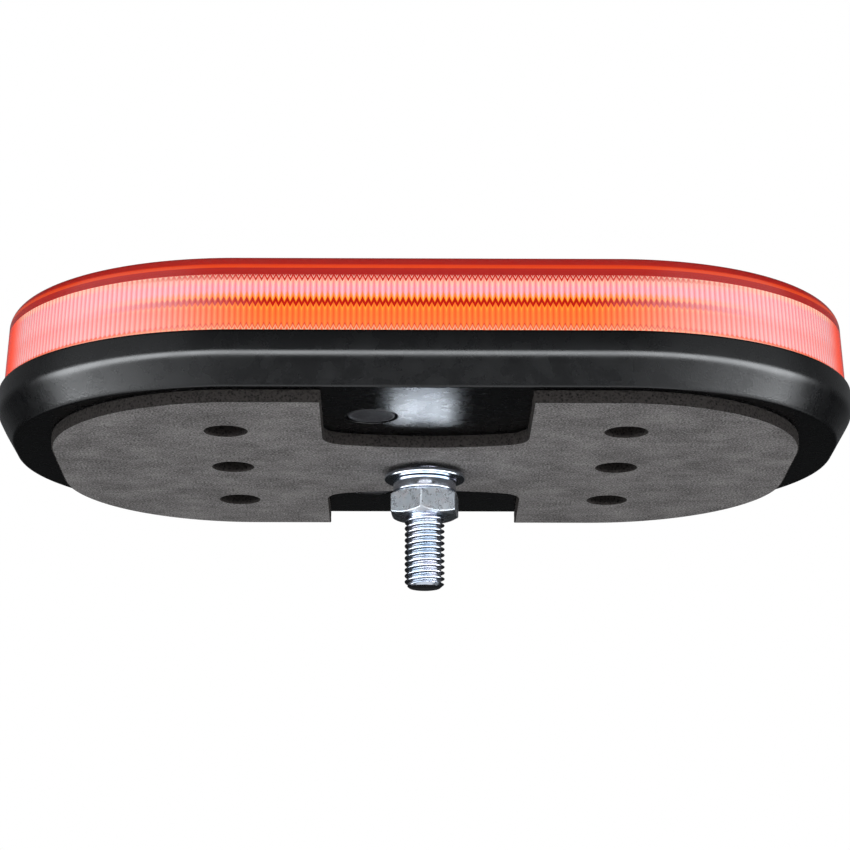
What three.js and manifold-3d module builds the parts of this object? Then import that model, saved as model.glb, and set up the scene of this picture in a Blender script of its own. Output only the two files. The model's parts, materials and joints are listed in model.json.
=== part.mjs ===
// Low oblong LED warning beacon for a vehicle roof, fixed by one central M10 bolt.
// Millimetres, +Z up. The origin is on the bolt axis at the lower face of the foam pad,
// where the beacon meets the roof. +X runs along the long side. The housing and everything in it
// is drawn about its own middle, and stands a little forward of the bolt.
import * as THREE from 'three';
import { mergeVertices } from 'three/addons/utils/BufferGeometryUtils.js';
import Module from 'manifold-3d';

const wasm = await Module();
wasm.setup();

// ---- Overall sizes ----
const LENGTH = 209.8;
const WIDTH = 130.8;
const HEIGHT = 31.2;               // flat bottom of the housing to the top of the lens
const END_FLAT = 9.2;              // straight stretch in the middle of each end
const BOLT_OFFSET = 4;             // bolt axis behind the middle of the housing
const GAP = 0.3;                   // clearance between pieces that touch

// ---- Base housing, heights from its flat bottom ----
const FLOOR_THICKNESS = 3.0;
const RIM_HEIGHT = 12.6;
const BAND_HEIGHT = 7.9;           // where the upright band starts
const LEDGE_HEIGHT = 8.7;          // ledge that the gasket lies on
const BOTTOM_INSET = 3.9;          // flat bottom, inside the rim outline
const BOTTOM_EDGE = 0.7;           // easing of the edge round the flat bottom
const BEND_INSET = 1.1;            // where the skirt starts to bend into the band
const BEND_HEIGHT = 2.9;
const RIM_EDGE = 0.7;              // easing of the rim's upper edge
const LIP_THICKNESS = 0.9;
const LEDGE_MARGIN = 0.8;          // ledge beyond the lens wall
const FLOOR_FILLET = 2.0;

// ---- Lens ----
const LENS_WALL = 2.6;
const LENS_DRAFT = Math.tan(THREE.MathUtils.degToRad(3.4));
const LENS_TOP_RADIUS = 3.5;
const LENS_INNER_RADIUS = 0.9;     // under the top edge
const GASKET_THICKNESS = 1.0;

// ---- Foam pad ----
const FOAM_THICKNESS = 3.0;
const FOAM_SIDE_MARGIN = 5.1;
const FOAM_END_MARGIN = 14.3;
const FOAM_END_FLAT = 27.6;
const FOAM_HOLE_RADIUS = 4.9;
const NOTCH_HALF_WIDTH = 24.4;
const NOTCH_CORNER = 6.0;
const FRONT_NOTCH_REACH = 19.5;    // from the middle of the pad to the notch floor
const REAR_NOTCH_REACH = 24.5;
const NOTCH_BOW = 3.2;             // how far the notch floor bows towards the middle

// ---- Bolt, nut and washers ----
const THREAD_RADIUS = 4.95;        // M10 crest, less the rolling allowance
const BOLT_REACH = 29.6;           // below the foam
const BOLT_CHAMFER = 1;
const HEAD_FLATS = 17;
const HEAD_HEIGHT = 6.4;
const NUT_FLATS = 16;
const NUT_HEIGHT = 6.2;
const NUT_ANGLE = THREE.MathUtils.degToRad(-6.4);
const NUT_CHAMFER = 0.2;           // flat of the chamfer beyond the corners and inside the flats
const WASHER_DROP = 1.2;           // as supplied, the washers hang a little below the foam
const WASHER_RADIUS = 10;
const WASHER_THICKNESS = 1.3;
const SPRING_RADIUS = 7.8;
const SPRING_THICKNESS = 3;
const SPRING_SLOT = 1.2;
const STACK_GAP = 0.1;

// ---- Plugs in the flat bottom ----
const PLUG_X = -13;
const PLUG_Y = 35.7;
const PLUG_FACE_RADIUS = 5.6;
const PLUG_RECESS_RADIUS = 6.4;
const PLUG_RECESS_DEPTH = 1.5;
const PLUG_STEM_RADIUS = 4.2;
const PLUG_EDGE = 0.3;
const PLUG_BARB = 1;               // how far the snap ring stands out over the floor

// ---- Screws that hold the LED tray ----
const SCREW_END_MARGIN = 57.5;     // screw columns, inside the rim outline
const SCREW_SIDE_MARGIN = 31.2;    // screw rows, inside the rim outline
const SCREW_RADIUS = 2;
const SCREW_HEAD_RADIUS = 3.6;
const SCREW_HEAD_HEIGHT = 2.4;
const SCREW_LENGTH = 9;
const WELL_RADIUS = 4.1;
const WELL_DEPTH = 5.3;
const PILLAR_RADIUS = 6.2;

// ---- LED tray, boards and optics ----
const TRAY_INSET = 20;
const TRAY_SHEET = 1.6;
const TRAY_HEIGHT = 16.3;
const TRAY_BOSS_RADIUS = 4.2;
const TRAY_BOSS_HEIGHT = 4;
const TRAY_HOLE_MARGIN = 3;        // round the bolt head
const BOARD_THICKNESS = 1.6;
const BOARD_RISE = 2.7;            // board's lower edge above the tray's underside
const BOARD_END_MARGIN = 1;
const SIDE_OPTICS = 4;
const OPTIC_GAP = 2.9;
const OPTIC_DEPTH = 7;
const OPTIC_HEIGHT = 11.5;
const OPTIC_TAPER = 1.2;           // narrower at the back, on each side
const OPTIC_BOW = 1.5;
const END_OPTIC_WIDTH = 19;
const END_OPTIC_GAP = 0.4;         // extra room behind a flat back on a curved board
const END_OPTIC_ANGLES = [20, 62].map(THREE.MathUtils.degToRad);

// ---- Driver board ----
const DRIVER_CLEARANCE = 5.2;      // from the tray bosses
const DRIVER_HALF_WIDTH = 29;
const DRIVER_CORNER = 5;           // screw centres from the board edges
const STANDOFF_RADIUS = 2.8;
const STANDOFF_HEIGHT = 4;
const DRIVER_SCREW_RADIUS = 1.5;
const DRIVER_SCREW_LENGTH = 5;
const DRIVER_HEAD_RADIUS = 2.8;
const DRIVER_HEAD_HEIGHT = 1.8;

// ---- Parts on the driver board ----
const PART_END_MARGIN = 14;        // big parts from the board's ends
const PART_SIDE_MARGIN = 12;
const INDUCTOR_RADIUS = 6.2;
const INDUCTOR_BORE = 2;
const INDUCTOR_HEIGHT = 6.5;
const CAPACITOR_RADIUS = 4;
const CAPACITOR_HEIGHT = 9.4;
const CAPACITOR_PITCH = 11;
const CHIP_SIZE = 7;
const CHIP_HEIGHT = 1.2;
const TRANSISTOR_WIDTH = 6.6;
const TRANSISTOR_DEPTH = 6;
const TRANSISTOR_HEIGHT = 2.3;
const TRANSISTOR_Y = -11.5;
const TERMINAL_LENGTH = 18;
const TERMINAL_DEPTH = 8;
const TERMINAL_HEIGHT = 9;
const TERMINAL_MARGIN = 3;         // from the board's front edge
const TERMINAL_PITCH = 4;
const TERMINAL_WAYS = 4;
const TERMINAL_HOLE_RADIUS = 1.1;

// ---- Leads ----
const LEAD_RADIUS = 0.9;
const LEAD_SIDE_X = 15;            // where the front and rear leads cross
const LEAD_END_Y = 4;
const LEAD_TAIL = 4;               // how far a lead lies on the driver board
const LEAD_STEPS = 18;

// ---- Seal and plate under the bolt head ----
const SEAL_WIDTH = 2.65;
const SEAL_THICKNESS = 1.3;
const PLATE_HALF = 20;
const PLATE_THICKNESS = 2.5;

// ---- Sizes that follow from these ----
const halfLength = LENGTH / 2;
const halfWidth = WIDTH / 2;
const cornerRadius = (WIDTH - END_FLAT) / 2;
const straightHalf = halfLength - cornerRadius;
const bottomZ = FOAM_THICKNESS + GAP;
const floorZ = bottomZ + FLOOR_THICKNESS;
const bandZ = bottomZ + BAND_HEIGHT;
const ledgeZ = bottomZ + LEDGE_HEIGHT;
const rimZ = bottomZ + RIM_HEIGHT;
const topZ = bottomZ + HEIGHT;
const lensInset = LIP_THICKNESS + GAP;
const lensInnerInset = lensInset + LENS_WALL;
const lensBottomZ = ledgeZ + GASKET_THICKNESS + 2 * GAP;
const lensShoulderZ = topZ - LENS_TOP_RADIUS;
const baseWall = lensInnerInset + LEDGE_MARGIN;
const boltHole = THREAD_RADIUS + GAP;
const sealInner = boltHole + STACK_GAP;
const sealOuter = sealInner + SEAL_WIDTH;
const screwX = halfLength - SCREW_END_MARGIN;
const screwY = halfWidth - SCREW_SIDE_MARGIN;
const wellTopZ = bottomZ + WELL_DEPTH;
const trayZ = ledgeZ - GAP;
const trayFloorZ = trayZ + TRAY_SHEET;
const trayTopZ = trayZ + TRAY_HEIGHT;
const boardBottomZ = trayZ + BOARD_RISE;
const pillarTopZ = trayZ - GAP;
const plateZ = floorZ + GAP;
const headZ = plateZ + PLATE_THICKNESS + GAP;
const trayHole = HEAD_FLATS / Math.sqrt(3) + TRAY_HOLE_MARGIN;
const driverZ = trayFloorZ + STANDOFF_HEIGHT + GAP;
const driverTopZ = driverZ + BOARD_THICKNESS;
const driverHalfLength = screwX - TRAY_BOSS_RADIUS - DRIVER_CLEARANCE;
const partZ = driverTopZ + GAP;
const washerZ = -WASHER_DROP - WASHER_THICKNESS;
const springZ = washerZ - STACK_GAP - SPRING_THICKNESS;
const nutTopZ = springZ - STACK_GAP;
const boardOuterInset = TRAY_INSET - GAP - BOARD_THICKNESS;

// ---- Smoothness, and how far a cutting tool reaches past what it cuts ----
const CORNER_STEPS = 10;
const ROUND = 28;
const ROUND_LARGE = 48;
const ROUND_SMALL = 12;
const PAST = 1;

const model = new THREE.Group();
model.name = 'led_warning_beacon';
const housing = new THREE.Group();
housing.position.y = -BOLT_OFFSET;
model.add(housing);

// ---- Materials ----
const finish = (color, roughness, metalness = 0, extra = {}) => () =>
  new THREE.MeshStandardMaterial({ color, roughness, metalness, ...extra });
const blackPlastic = finish(0x1b1d20, 0.55);
const amber = finish(0xff5a12, 0.08, 0, { transparent: true, opacity: 0.6 });
const foam = finish(0x6c6765, 0.95);
const rubber = finish(0x17181a, 0.8);
const zinc = finish(0xc3cbd3, 0.28, 1);
const aluminium = finish(0xb9bdc0, 0.4, 1);
const boardWhite = finish(0xe9ebe8, 0.5);
const boardGreen = finish(0x1f5b38, 0.45);
const clearPlastic = finish(0xf4f6f7, 0.05, 0, { transparent: true, opacity: 0.5 });
const chipBlack = finish(0x202124, 0.5);
const copperWire = finish(0xb33b24, 0.45);
const capacitorCan = finish(0xaeb4b8, 0.35, 0.9);

function add(name, geometry, material, parent = housing) {
  const mesh = new THREE.Mesh(geometry, material());
  mesh.name = name;
  parent.add(mesh);
  return mesh;
}

// ---- Solids ----
function toSolid(geometry) {
  const bare = geometry.clone();
  bare.deleteAttribute('normal');
  bare.deleteAttribute('uv');
  const merged = mergeVertices(bare, 1e-4);
  return new wasm.Manifold(new wasm.Mesh({
    numProp: 3,
    vertProperties: new Float32Array(merged.attributes.position.array),
    triVerts: new Uint32Array(merged.index.array),
  }));
}

function toGeometry(solid) {
  const mesh = solid.getMesh();
  const geometry = new THREE.BufferGeometry();
  geometry.setAttribute('position', new THREE.BufferAttribute(mesh.vertProperties, 3));
  geometry.setIndex(new THREE.BufferAttribute(mesh.triVerts, 1));
  geometry.computeVertexNormals();
  return geometry;
}

function join(first, ...others) {
  return toGeometry(others.reduce((solid, other) => solid.add(toSolid(other)), toSolid(first)));
}

function cut(first, ...tools) {
  return toGeometry(tools.reduce((solid, tool) => solid.subtract(toSolid(tool)), toSolid(first)));
}

// A solid turned about Z. The profile is a list of [radius, z] that starts and ends on the axis
// or closes on itself.
function turned(profile, x = 0, y = 0, steps = ROUND) {
  const points = profile.map(([r, z]) => new THREE.Vector2(r, z));
  const geometry = new THREE.LatheGeometry(points, steps);
  return geometry.rotateX(Math.PI / 2).translate(x, y, 0);
}

function disc(radius, z0, z1, x = 0, y = 0, steps = ROUND) {
  return turned([[0, z0], [radius, z0], [radius, z1], [0, z1]], x, y, steps);
}

function tubeRing(inner, outer, z0, z1, x = 0, y = 0, steps = ROUND) {
  return turned([[inner, z0], [outer, z0], [outer, z1], [inner, z1], [inner, z0]], x, y, steps);
}

function prism(shape, z0, z1, curveSegments = CORNER_STEPS) {
  const geometry = new THREE.ExtrudeGeometry(shape, { depth: z1 - z0, bevelEnabled: false, curveSegments });
  return geometry.translate(0, 0, z0);
}

function block(x0, x1, y0, y1, z0, z1) {
  const geometry = new THREE.BoxGeometry(x1 - x0, y1 - y0, z1 - z0);
  return geometry.translate((x0 + x1) / 2, (y0 + y1) / 2, (z0 + z1) / 2);
}

function hexagon(flats) {
  const shape = new THREE.Shape();
  const corner = flats / Math.sqrt(3);
  for (let i = 0; i < 6; i++) {
    const angle = (i * Math.PI) / 3 - Math.PI / 2;
    shape[i ? 'lineTo' : 'moveTo'](corner * Math.cos(angle), corner * Math.sin(angle));
  }
  return shape;
}

// Rounded rectangle outline of the housing, drawn inset by the given amount.
function outline(inset) {
  const points = [];
  const radius = cornerRadius - inset;
  for (const [sx, sy, start] of [[1, 1, 0], [-1, 1, 1], [-1, -1, 2], [1, -1, 3]]) {
    for (let i = 0; i <= CORNER_STEPS; i++) {
      const angle = ((start + i / CORNER_STEPS) * Math.PI) / 2;
      points.push([sx * straightHalf + radius * Math.cos(angle),
        sy * (END_FLAT / 2) + radius * Math.sin(angle)]);
    }
  }
  return points;
}

// A solid made of outlines stacked along a profile of [inset, z]; its two ends are capped flat.
function stack(profile) {
  const rings = profile.map(([inset, z]) => outline(inset).map(([x, y]) => [x, y, z]));
  return loft(rings, true);
}

// A ring with the given closed section of [inset, z], swept round the housing outline.
function rail(section) {
  const rings = section.map(([inset, z]) => outline(inset).map(([x, y]) => [x, y, z]));
  return loft([...rings, rings[0]], false);
}

function loft(rings, capped) {
  const count = rings[0].length;
  const positions = rings.flat(2);
  const index = [];
  for (let r = 0; r + 1 < rings.length; r++) {
    for (let i = 0; i < count; i++) {
      const a = r * count + i;
      const b = r * count + ((i + 1) % count);
      index.push(a, b, b + count, a, b + count, a + count);
    }
  }
  if (capped) {
    const last = (rings.length - 1) * count;
    for (let i = 1; i + 1 < count; i++) {
      index.push(0, i + 1, i, last, last + i, last + i + 1);
    }
  }
  const geometry = new THREE.BufferGeometry();
  geometry.setAttribute('position', new THREE.Float32BufferAttribute(positions, 3));
  geometry.setIndex(index);
  return mergeVertices(geometry, 1e-4);
}

function arcProfile(inset, z, radius, from, to, steps) {
  return Array.from({ length: steps + 1 }, (_, i) => {
    const angle = from + ((to - from) * i) / steps;
    return [inset - radius * Math.cos(angle), z + radius * Math.sin(angle)];
  });
}

const corners = [[-1, -1], [1, -1], [1, 1], [-1, 1]];
const screwPlaces = [-1, 1].flatMap((sx) => [-1, 0, 1].map((sy) => [sx * screwX, sy * screwY]));
const driverScrewPlaces = corners.map(([sx, sy]) =>
  [sx * (driverHalfLength - DRIVER_CORNER), sy * (DRIVER_HALF_WIDTH - DRIVER_CORNER)]);

// ---- Housing and lens ----
function baseHousing() {
  const shell = stack([
    [BOTTOM_INSET + BOTTOM_EDGE, bottomZ],
    [BOTTOM_INSET, bottomZ + 0.3 * BOTTOM_EDGE],
    [BOTTOM_INSET - 0.85 * BOTTOM_EDGE, bottomZ + 1.15 * BOTTOM_EDGE],
    [BEND_INSET, bandZ - BEND_HEIGHT],
    [0.45 * BEND_INSET, bandZ - 0.65 * BEND_HEIGHT],
    [0.11 * BEND_INSET, bandZ - 0.3 * BEND_HEIGHT],
    [0, bandZ],
    [0, rimZ - RIM_EDGE],
    [0.3 * RIM_EDGE, rimZ - 0.3 * RIM_EDGE],
    [0.8 * RIM_EDGE, rimZ],
    [LIP_THICKNESS, rimZ],
    [LIP_THICKNESS, ledgeZ],
    [baseWall, ledgeZ],
    [baseWall, floorZ + FLOOR_FILLET],
    [baseWall + FLOOR_FILLET, floorZ],
  ]);
  const pillars = screwPlaces.map(([x, y]) => disc(PILLAR_RADIUS, floorZ - PAST, pillarTopZ, x, y, 16));
  const wells = screwPlaces.flatMap(([x, y]) => [
    disc(WELL_RADIUS, bottomZ - PAST, wellTopZ, x, y, 16),
    disc(SCREW_RADIUS + GAP, wellTopZ - PAST, pillarTopZ + PAST, x, y, ROUND_SMALL),
  ]);
  const plugHoles = [-PLUG_Y, PLUG_Y].flatMap((y) => [
    disc(PLUG_RECESS_RADIUS, bottomZ - PAST, bottomZ + PLUG_RECESS_DEPTH, PLUG_X, y),
    disc(PLUG_STEM_RADIUS + GAP, bottomZ, floorZ + PAST, PLUG_X, y, 24),
  ]);
  const boltHoles = [
    disc(boltHole, bottomZ - PAST, floorZ + PAST, 0, BOLT_OFFSET),
    disc(sealOuter + GAP, floorZ - SEAL_THICKNESS - GAP, floorZ + PAST, 0, BOLT_OFFSET),
  ];
  return cut(join(shell, ...pillars), ...wells, ...plugHoles, ...boltHoles);
}

function lensCover() {
  const wallAt = (z) => lensInset + Math.max(0, z - rimZ) * LENS_DRAFT;
  const shoulder = wallAt(lensShoulderZ);
  const ceiling = topZ - LENS_WALL;
  const quarter = Math.PI / 2;
  return stack([
    ...arcProfile(shoulder + LENS_TOP_RADIUS, lensShoulderZ, LENS_TOP_RADIUS, quarter, 0, 6),
    [lensInset, rimZ],
    [lensInset, lensBottomZ],
    [lensInnerInset, lensBottomZ],
    [lensInnerInset, rimZ],
    ...arcProfile(shoulder + LENS_WALL + LENS_INNER_RADIUS, ceiling - LENS_INNER_RADIUS,
      LENS_INNER_RADIUS, 0, quarter, 3),
  ].reverse());
}

function lensGasket() {
  const z0 = ledgeZ + GAP;
  const z1 = z0 + GASKET_THICKNESS;
  return rail([[lensInset, z0], [lensInset, z1], [lensInnerInset, z1], [lensInnerInset, z0]]);
}

// ---- Foam pad ----
function foamPad() {
  const x = halfLength - FOAM_END_MARGIN;
  const y = halfWidth - FOAM_SIDE_MARGIN;
  const r = y - FOAM_END_FLAT / 2;
  const shape = new THREE.Shape();
  shape.moveTo(-x, y - r);
  shape.lineTo(-x, r - y);
  shape.absarc(r - x, r - y, r, Math.PI, 1.5 * Math.PI, false);
  notch(shape, -1, FRONT_NOTCH_REACH, y);
  shape.absarc(x - r, r - y, r, 1.5 * Math.PI, 2 * Math.PI, false);
  shape.absarc(x - r, y - r, r, 0, Math.PI / 2, false);
  notch(shape, 1, REAR_NOTCH_REACH, y);
  shape.absarc(r - x, y - r, r, Math.PI / 2, Math.PI, false);
  for (const [hx, hy] of screwPlaces) {
    shape.holes.push(new THREE.Path().absarc(hx, hy, FOAM_HOLE_RADIUS, 0, 2 * Math.PI, true));
  }
  shape.holes.push(new THREE.Path().absarc(0, BOLT_OFFSET, boltHole, 0, 2 * Math.PI, true));
  return prism(shape, 0, FOAM_THICKNESS);
}

// A bay in one long edge, with rounded inner corners and a floor that bows towards the middle.
function notch(shape, side, reach, edge) {
  const w = side * NOTCH_HALF_WIDTH;
  const c = side * NOTCH_CORNER;
  const floor = side * (reach + NOTCH_BOW);
  const start = floor - side * 0.3 * NOTCH_BOW;
  const middle = floor - side * 1.7 * NOTCH_BOW;
  shape.lineTo(w, side * edge);
  shape.lineTo(w, floor + c);
  shape.quadraticCurveTo(w, floor, w - c, start);
  shape.quadraticCurveTo(0, middle, c - w, start);
  shape.quadraticCurveTo(-w, floor, -w, floor + c);
  shape.lineTo(-w, side * edge);
}

// ---- Bolt, washers and nut ----
function mountingBolt() {
  const shank = turned([[0, -BOLT_REACH], [THREAD_RADIUS - BOLT_CHAMFER, -BOLT_REACH],
    [THREAD_RADIUS, BOLT_CHAMFER - BOLT_REACH], [THREAD_RADIUS, headZ + PAST], [0, headZ + PAST]], 0, 0, 24);
  return join(shank, prism(hexagon(HEAD_FLATS), headZ, headZ + HEAD_HEIGHT));
}

function hexNut() {
  const z1 = nutTopZ;
  const z0 = z1 - NUT_HEIGHT;
  const corner = NUT_FLATS / Math.sqrt(3) + NUT_CHAMFER;
  const flat = NUT_FLATS / 2 - NUT_CHAMFER;
  const rise = (corner - flat) / Math.sqrt(3);
  const chamfered = turned([[0, z0], [flat, z0], [corner, z0 + rise],
    [corner, z1 - rise], [flat, z1], [0, z1]], 0, 0, ROUND_LARGE);
  const hex = prism(hexagon(NUT_FLATS), z0, z1);
  const blank = toSolid(hex).intersect(toSolid(chamfered));
  return toGeometry(blank.subtract(toSolid(disc(boltHole, z0 - PAST, z1 + PAST))));
}

function springWasher() {
  const z1 = springZ + SPRING_THICKNESS;
  const ring = tubeRing(boltHole, SPRING_RADIUS, springZ, z1);
  const slot = block(boltHole - PAST, SPRING_RADIUS + PAST, -SPRING_SLOT / 2, SPRING_SLOT / 2,
    springZ - PAST, z1 + PAST);
  return cut(ring, slot);
}

// ---- Plugs ----
function plug(y) {
  const stem = PLUG_STEM_RADIUS;
  const shoulder = bottomZ + PLUG_RECESS_DEPTH - GAP;
  const barb = floorZ + GAP;
  return turned([
    [0, bottomZ],
    [PLUG_FACE_RADIUS - PLUG_EDGE, bottomZ],
    [PLUG_FACE_RADIUS, bottomZ + PLUG_EDGE],
    [PLUG_FACE_RADIUS, shoulder],
    [stem, shoulder],
    [stem, barb],
    [stem + PLUG_BARB, barb],
    [stem + 0.6 * PLUG_BARB, barb + PLUG_BARB],
    [0, barb + PLUG_BARB],
  ], PLUG_X, y, 24);
}

// ---- LED tray ----
function ledTray() {
  const inner = TRAY_INSET + TRAY_SHEET;
  const foot = trayFloorZ - TRAY_SHEET / 2;
  const pan = stack([[TRAY_INSET, trayZ], [TRAY_INSET, trayTopZ], [inner, trayTopZ], [inner, trayFloorZ]]);
  const bosses = screwPlaces.map(([x, y]) =>
    disc(TRAY_BOSS_RADIUS, foot, trayFloorZ + TRAY_BOSS_HEIGHT, x, y, 14));
  const standoffs = driverScrewPlaces.map(([x, y]) =>
    disc(STANDOFF_RADIUS, foot, driverZ - GAP, x, y, ROUND_SMALL));
  const threads = [
    ...screwPlaces.map(([x, y]) => disc(SCREW_RADIUS + GAP, trayZ - PAST, trayTopZ, x, y, ROUND_SMALL)),
    ...driverScrewPlaces.map(([x, y]) =>
      disc(DRIVER_SCREW_RADIUS + GAP, trayZ - PAST, trayTopZ, x, y, ROUND_SMALL)),
  ];
  const boltRoom = disc(trayHole, trayZ - PAST, trayFloorZ + PAST, 0, BOLT_OFFSET);
  return cut(join(pan, ...bosses, ...standoffs), ...threads, boltRoom);
}

function sideBoard(side) {
  const y0 = side * (halfWidth - boardOuterInset - BOARD_THICKNESS);
  const y1 = side * (halfWidth - boardOuterInset);
  const x = straightHalf - BOARD_END_MARGIN;
  return block(-x, x, Math.min(y0, y1), Math.max(y0, y1), boardBottomZ, trayTopZ);
}

// A flexible board bent round one end of the tray.
function endBoard(side) {
  const outer = cornerRadius - boardOuterInset;
  const inner = outer - BOARD_THICKNESS;
  const y = END_FLAT / 2;
  const quarter = Math.PI / 2;
  const turn = side > 0 ? 0 : Math.PI;
  const x = side * straightHalf;
  const shape = new THREE.Shape();
  shape.absarc(x, -side * y, outer, turn - quarter, turn, false);
  shape.absarc(x, side * y, outer, turn, turn + quarter, false);
  shape.absarc(x, side * y, inner, turn + quarter, turn, true);
  shape.absarc(x, -side * y, inner, turn, turn - quarter, true);
  return prism(shape, boardBottomZ, trayTopZ);
}

// A collimator block: its back faces the board, its bowed front faces the lens.
function optic(width) {
  const shape = new THREE.Shape();
  const back = width / 2 - OPTIC_TAPER;
  const edge = OPTIC_DEPTH - OPTIC_BOW;
  shape.moveTo(0, -back);
  shape.lineTo(edge, -width / 2);
  shape.quadraticCurveTo(OPTIC_DEPTH + OPTIC_BOW, 0, edge, width / 2);
  shape.lineTo(0, back);
  shape.closePath();
  const z = (boardBottomZ + trayTopZ - OPTIC_HEIGHT) / 2;
  return prism(shape, z, z + OPTIC_HEIGHT, 8);
}

function addOptics() {
  const pitch = (2 * straightHalf) / SIDE_OPTICS;
  const y = halfWidth - boardOuterInset + GAP;
  for (const [name, side] of [['front', -1], ['rear', 1]]) {
    for (let i = 0; i < SIDE_OPTICS; i++) {
      const mesh = add(`led_optic_${name}_${i + 1}`, optic(pitch - OPTIC_GAP), clearPlastic);
      mesh.position.set((i + 0.5) * pitch - straightHalf, side * y, 0);
      mesh.rotation.z = (side * Math.PI) / 2;
    }
  }
  const reach = cornerRadius - boardOuterInset + GAP + END_OPTIC_GAP;
  for (const [name, side] of [['left', -1], ['right', 1]]) {
    const angles = [...END_OPTIC_ANGLES.map((a) => -a).reverse(), ...END_OPTIC_ANGLES];
    angles.forEach((angle, i) => {
      const mesh = add(`led_optic_${name}_${i + 1}`, optic(END_OPTIC_WIDTH), clearPlastic);
      const y0 = Math.sign(angle) * (END_FLAT / 2);
      const x = side * (straightHalf + reach * Math.cos(angle));
      mesh.position.set(x, y0 + reach * Math.sin(angle), 0);
      mesh.rotation.z = side > 0 ? angle : Math.PI - angle;
    });
  }
}

// ---- Screws ----
// A pan head screw whose head rests under z = 0 and whose shank points up.
function panScrew(radius, length, headRadius, headHeight) {
  return turned([[0, -headHeight], [headRadius * 0.75, -headHeight], [headRadius, -headHeight * 0.45],
    [headRadius, 0], [radius, 0], [radius, length], [0, length]], 0, 0, 14);
}

function addScrews() {
  screwPlaces.forEach(([x, y], i) => {
    const screw = panScrew(SCREW_RADIUS, SCREW_LENGTH, SCREW_HEAD_RADIUS, SCREW_HEAD_HEIGHT);
    add(`tray_screw_${i + 1}`, screw, zinc).position.set(x, y, wellTopZ - GAP);
  });
  driverScrewPlaces.forEach(([x, y], i) => {
    const screw = panScrew(DRIVER_SCREW_RADIUS, DRIVER_SCREW_LENGTH, DRIVER_HEAD_RADIUS, DRIVER_HEAD_HEIGHT);
    add(`driver_screw_${i + 1}`, screw.rotateX(Math.PI), zinc).position.set(x, y, driverTopZ + GAP);
  });
}

// ---- Driver board and its parts ----
function driverBoard() {
  const x = driverHalfLength;
  const y = DRIVER_HALF_WIDTH;
  const holes = driverScrewPlaces.map(([hx, hy]) =>
    disc(DRIVER_SCREW_RADIUS + GAP, driverZ - PAST, driverTopZ + PAST, hx, hy, ROUND_SMALL));
  return cut(block(-x, x, -y, y, driverZ, driverTopZ), ...holes);
}

function capacitor(x, y) {
  const top = partZ + CAPACITOR_HEIGHT;
  const edge = CAPACITOR_RADIUS / 10;
  return turned([[0, partZ], [CAPACITOR_RADIUS, partZ], [CAPACITOR_RADIUS, top - edge],
    [CAPACITOR_RADIUS - edge, top], [0, top]], x, y, 20);
}

function terminalBlock() {
  const front = TERMINAL_MARGIN - DRIVER_HALF_WIDTH;
  const top = partZ + TERMINAL_HEIGHT;
  const body = block(-TERMINAL_LENGTH / 2, TERMINAL_LENGTH / 2, front, front + TERMINAL_DEPTH, partZ, top);
  const holes = Array.from({ length: TERMINAL_WAYS }, (_, i) => {
    const x = (i - (TERMINAL_WAYS - 1) / 2) * TERMINAL_PITCH;
    const y = front + TERMINAL_DEPTH / 2;
    return disc(TERMINAL_HOLE_RADIUS, partZ + TERMINAL_HEIGHT / 2, top + PAST, x, y, ROUND_SMALL);
  });
  return cut(body, ...holes);
}

function addDriverParts() {
  const right = driverHalfLength - PART_END_MARGIN;
  const rear = DRIVER_HALF_WIDTH - PART_SIDE_MARGIN;
  const inductor = tubeRing(INDUCTOR_BORE, INDUCTOR_RADIUS, partZ, partZ + INDUCTOR_HEIGHT,
    -right, rear - CAPACITOR_RADIUS, 24);
  add('inductor', inductor, chipBlack);
  add('capacitor_1', capacitor(right, rear), capacitorCan);
  add('capacitor_2', capacitor(right, rear - CAPACITOR_PITCH), capacitorCan);
  const chip = CHIP_SIZE / 2;
  add('controller_chip', block(-chip, chip, -chip, chip, partZ, partZ + CHIP_HEIGHT), chipBlack);
  const half = TRANSISTOR_WIDTH / 2;
  const y0 = TRANSISTOR_Y - TRANSISTOR_DEPTH / 2;
  for (const [i, x] of [-right, right].entries()) {
    const body = block(x - half, x + half, y0, y0 + TRANSISTOR_DEPTH, partZ, partZ + TRANSISTOR_HEIGHT);
    add(`power_transistor_${i + 1}`, body, chipBlack);
  }
  add('terminal_block', terminalBlock(), boardWhite);
}

// ---- Leads from the driver board to the LED boards ----
function lead(points) {
  const section = new THREE.Shape().absarc(0, 0, LEAD_RADIUS, 0, 2 * Math.PI, false);
  const extrudePath = new THREE.CatmullRomCurve3(points.map((p) => new THREE.Vector3(...p)));
  const options = { steps: LEAD_STEPS, curveSegments: 4, extrudePath, bevelEnabled: false };
  return new THREE.ExtrudeGeometry(section, options);
}

// Each lead lies on the driver board, rises over the tray wall and ends above an LED board.
function addLeads() {
  const z0 = driverTopZ + LEAD_RADIUS + GAP;
  const z1 = trayTopZ + LEAD_RADIUS + GAP;
  const endY = halfWidth - TRAY_INSET + GAP;
  const endX = halfLength - TRAY_INSET + GAP;
  const edgeY = DRIVER_HALF_WIDTH + LEAD_RADIUS;
  const edgeX = driverHalfLength + LEAD_RADIUS;
  for (const [name, side] of [['front', -1], ['rear', 1]]) {
    const x = side * LEAD_SIDE_X;
    add(`led_lead_${name}`, lead([[x, side * (edgeY - LEAD_TAIL - 3), z0], [x, side * edgeY, z0 + 1],
      [x, side * (endY - 5), z1 - 1], [x, side * endY, z1]]), copperWire);
  }
  for (const [name, side] of [['left', -1], ['right', 1]]) {
    const y = LEAD_END_Y;
    const start = edgeX - LEAD_TAIL - 1;
    add(`led_lead_${name}`, lead([[side * start, y - 2, z0], [side * (edgeX + 5), y - 1, z0 + 1],
      [side * (endX - 12), y, z1 - 1.5], [side * endX, y, z1]]), copperWire);
  }
}

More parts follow.
